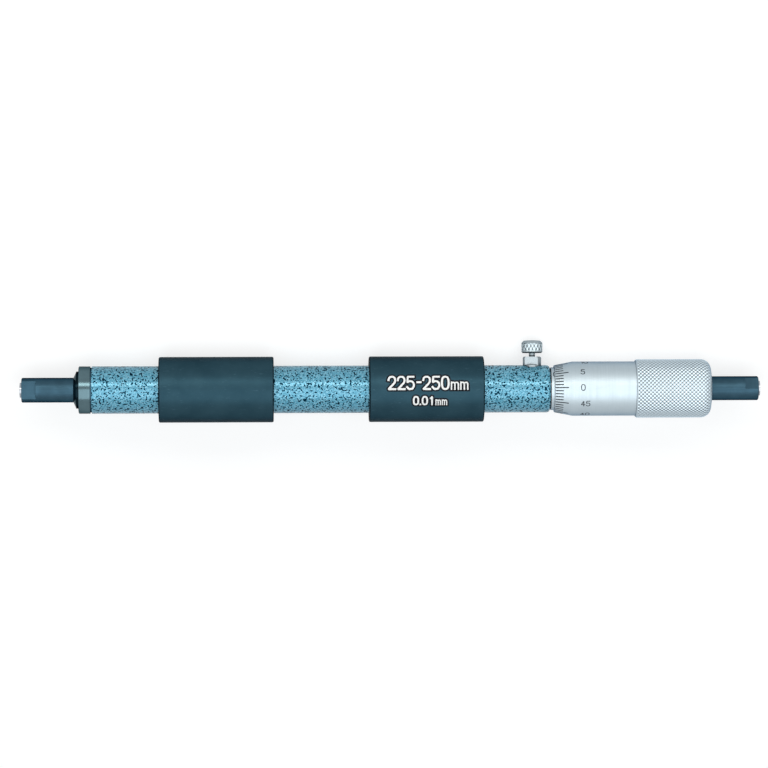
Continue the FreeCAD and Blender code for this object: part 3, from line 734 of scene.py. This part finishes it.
def pale_floor():
    """Pale diffuse floor that lights a little for the camera and for reflections, and keeps the shadow."""
    material = bpy.data.materials.new("floor")
    material.use_nodes = True
    tree = material.node_tree
    tree.nodes.clear()
    diffuse = tree.nodes.new("ShaderNodeBsdfDiffuse")
    diffuse.inputs["Color"].default_value = (*FLOOR_COLOUR, 1)
    glow = tree.nodes.new("ShaderNodeEmission")
    glow.inputs["Color"].default_value = (1, 1, 1, 1)
    seen = seen_rays(tree)
    level = tree.nodes.new("ShaderNodeMath")
    level.operation = "MULTIPLY"
    level.inputs[1].default_value = FLOOR_GLOW
    tree.links.new(seen, level.inputs[0])
    tree.links.new(level.outputs[0], glow.inputs["Strength"])
    both = tree.nodes.new("ShaderNodeAddShader")
    tree.links.new(diffuse.outputs[0], both.inputs[0])
    tree.links.new(glow.outputs[0], both.inputs[1])
    output = tree.nodes.new("ShaderNodeOutputMaterial")
    tree.links.new(both.outputs[0], output.inputs["Surface"])
    return material


def seen_rays(tree):
    """1 for a ray from the camera, a reflection or glass, else 0."""
    path = tree.nodes.new("ShaderNodeLightPath")
    total = path.outputs["Is Camera Ray"]
    for name in ("Is Glossy Ray", "Is Transmission Ray"):
        most = tree.nodes.new("ShaderNodeMath")
        most.operation = "MAXIMUM"
        tree.links.new(total, most.inputs[0])
        tree.links.new(path.outputs[name], most.inputs[1])
        total = most.outputs[0]
    return total


# Putting it together

def give_materials():
    """Each CAD node gets the finish of its slot in the record."""
    finishes = {
        "tube_paint": hammered_paint(),
        "grip_plastic": grip_plastic(),
        "black_oxide": black_oxide(),
        "satin_chrome": satin_chrome(),
        "bright_plate": bright_plate(),
        "carbide": carbide(),
        "bare_steel": bare_steel(),
        "brass_pad": brass(),
    }
    for part in frame["record"]["subparts"]:
        mesh = frame["nodes"][part["node"]].data
        mesh.materials.clear()
        mesh.materials.append(finishes[part["material_slot"]])
    frame["nodes"]["anvil_lock_nut"].data.materials[0] = polished_oxide()
    frame["nodes"]["clamp_bush"].data.materials[0] = bush_plate()
    return finishes


def add_knurled_pieces(finishes):
    """The thimble and the clamp screw again, with their knurls cut."""
    mesh = lathe("thimble_knurled", thimble_rows(), THIMBLE_KNURL, around_axis)
    thimble = new_object("thimble_knurled", mesh, finishes["satin_chrome"], "thimble_assembly")
    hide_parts("thimble")
    mesh = lathe("clamp_screw_knurled", clamp_rows(), CLAMP_KNURL, around_clamp)
    screw = new_object("clamp_screw_knurled", mesh, finishes["bright_plate"], "clamp_knob")
    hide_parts("clamp_screw")


def add_marks():
    """Black marks on thimble and sleeve, and the white print with its black edge on the grip."""
    edge = 0.45 * MM
    black = ink("mark_black", (0.004, 0.006, 0.01))
    white = ink("print_white", (0.86, 0.88, 0.88))
    new_object("thimble_marks", thimble_marks(), black, "thimble_assembly")
    new_object("sleeve_marks", sleeve_marks(), black, "zero_sleeve")
    new_object("grip_print_edge", grip_text("grip_print_edge", edge, LIFT), black, "tube_frame")
    new_object("grip_print", grip_text("grip_print", 0.0, 2 * LIFT), white, "tube_frame")


def add_floor():
    """A plain floor under the grips and the clamp screw's head."""
    low = CAD_BOX[0].z
    bpy.ops.mesh.primitive_plane_add(size=FLOOR_WIDTH, location=(LIT_MIDDLE, 0, low))
    floor = bpy.context.object
    floor.name = "floor"
    floor.data.materials.append(pale_floor())


def aim(thing, place, target, up):
    """Stand a lamp or camera at a place, looking at a target with a direction upward."""
    back = (place - target).normalized()
    right = up.cross(back).normalized()
    turned = Matrix((right, back.cross(right), back)).transposed()
    thing.matrix_world = Matrix.Translation(place) @ turned.to_4x4()


def add_lamp(name, turn, size, colour, radiance):
    """A soft rectangular lamp along the object, at a turn around it, with its brightness."""
    middle = ALONG * LIT_MIDDLE
    lamp = bpy.data.lights.new(name, "AREA")
    lamp.shape = "RECTANGLE"
    lamp.size, lamp.size_y = size
    lamp.color = colour
    lamp.energy = radiance * math.pi * size[0] * size[1]
    holder = bpy.data.objects.new(name, lamp)
    bpy.context.scene.collection.objects.link(holder)
    aim(holder, middle + around_axis(0.0, LAMP_DISTANCE, turn), middle, SCREW_UP)
    holder.visible_camera = False


def background(tree, colour, strength):
    """An even background of the world."""
    made = tree.nodes.new("ShaderNodeBackground")
    made.inputs["Color"].default_value = (*colour, 1)
    made.inputs["Strength"].default_value = strength
    return made


def add_light():
    """A wide soft lamp over the scale side, a warmer strip above it, and a pale world."""
    add_lamp("key", -20.0, (1.7, 1.0), (0.94, 0.98, 1.0), 1.7)
    add_lamp("strip", 27.0, (1.7, 0.28), (1.0, 0.97, 0.91), 4.3)
    world = bpy.data.worlds.new("studio")
    world.use_nodes = True
    bpy.context.scene.world = world
    tree = world.node_tree
    tree.nodes.clear()
    white = background(tree, (1.0, 1.0, 1.0), 1.0)
    fill = background(tree, (0.93, 0.97, 1.0), WORLD_FILL)
    mix = tree.nodes.new("ShaderNodeMixShader")
    tree.links.new(seen_rays(tree), mix.inputs["Fac"])
    tree.links.new(fill.outputs[0], mix.inputs[1])
    tree.links.new(white.outputs[0], mix.inputs[2])
    output = tree.nodes.new("ShaderNodeOutputWorld")
    tree.links.new(mix.outputs[0], output.inputs["Surface"])


def add_camera():
    """A long lens square to the axis a third of the way along, turned to the picture's middle."""
    picture = 768.0
    pixels_per_metre = 3292.5
    zero_pixel = 18.9
    middle_pixel = 382.735
    opposite_pixel = 250.0
    pixels_above_axis = 5.2
    distance = 1.3545
    sensor_width = 36.0
    picture_roll = math.radians(0.167)
    above = SCREW_UP * (pixels_above_axis / pixels_per_metre)
    middle = ALONG * ((middle_pixel - zero_pixel) / pixels_per_metre) + above
    place = ALONG * ((opposite_pixel - zero_pixel) / pixels_per_metre) + above + READER * distance
    up = SCREW_UP * math.cos(picture_roll) + ALONG * math.sin(picture_roll)
    camera = bpy.data.objects.new("camera", bpy.data.cameras.new("camera"))
    bpy.context.scene.collection.objects.link(camera)
    aim(camera, place, middle, up)
    straight = (place - middle).normalized().dot(READER)
    focal_pixels = pixels_per_metre * distance / straight ** 2
    camera.data.sensor_width = sensor_width
    camera.data.lens = focal_pixels * sensor_width / picture
    camera.data.clip_start = 0.05
    camera.data.clip_end = 20.0
    bpy.context.scene.camera = camera


finishes = give_materials()
add_knurled_pieces(finishes)
add_marks()
add_floor()
add_light()
add_camera()
bpy.context.scene.view_settings.view_transform = "Standard"
